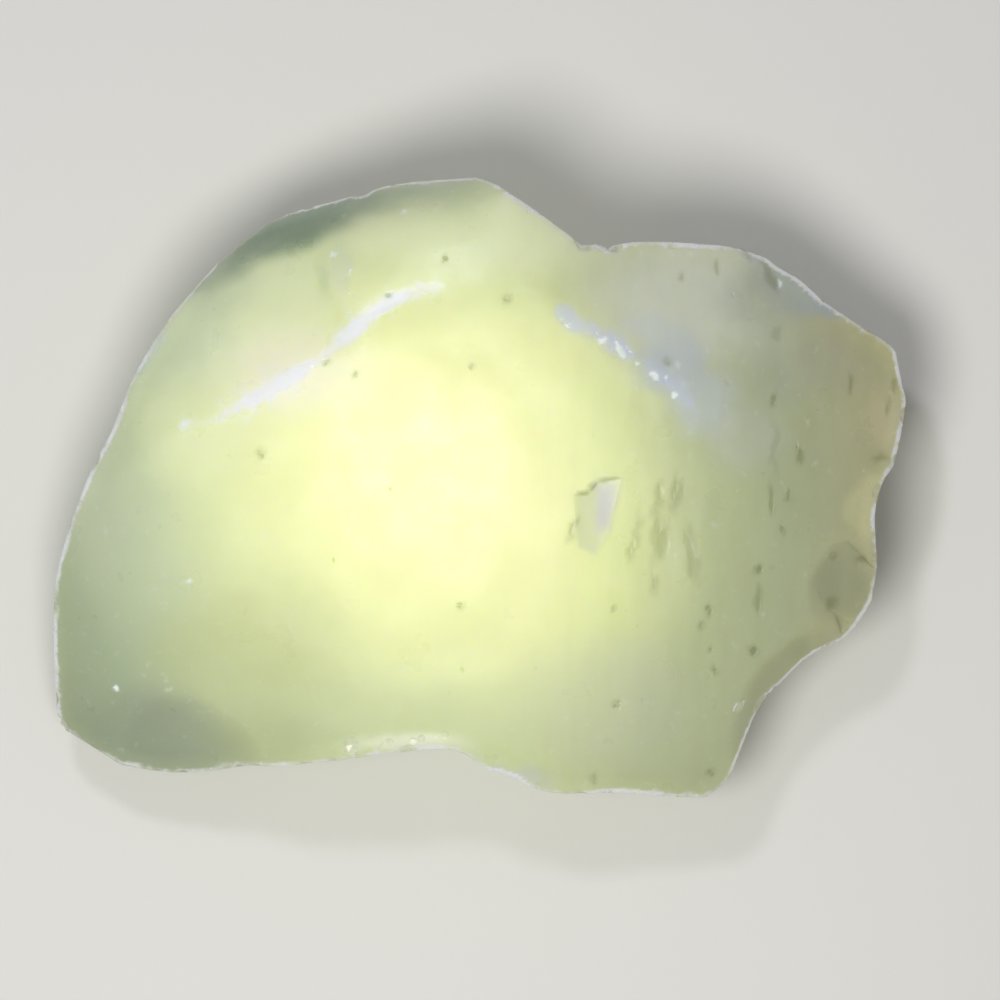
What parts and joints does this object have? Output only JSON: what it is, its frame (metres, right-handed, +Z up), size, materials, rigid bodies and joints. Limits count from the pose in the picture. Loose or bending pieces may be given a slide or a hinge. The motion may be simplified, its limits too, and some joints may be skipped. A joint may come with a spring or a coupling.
{
  "type": "glass cullet",
  "caption": "Broken lump of milky yellow-green glass with a domed crown face, shell-shaped chips, a thin uneven rim and a flat underside that it lies on.",
  "frame": {"origin": "middle of the bounding box in plan, at the level of the flat face the lump lies on", "axes": "+X along the longest side, towards the end with the hollow and the bite; +Z up through the domed crown face; +Y towards the notched edge"},
  "size_m": [0.06, 0.0434, 0.0181],
  "materials": {
    "milky_glass": "milky, see-through in thin places, satin with bruised white arrises"
  },
  "bodies": {
    "root": {"glass_lump": "milky_glass"}
  },
  "joints": []
}
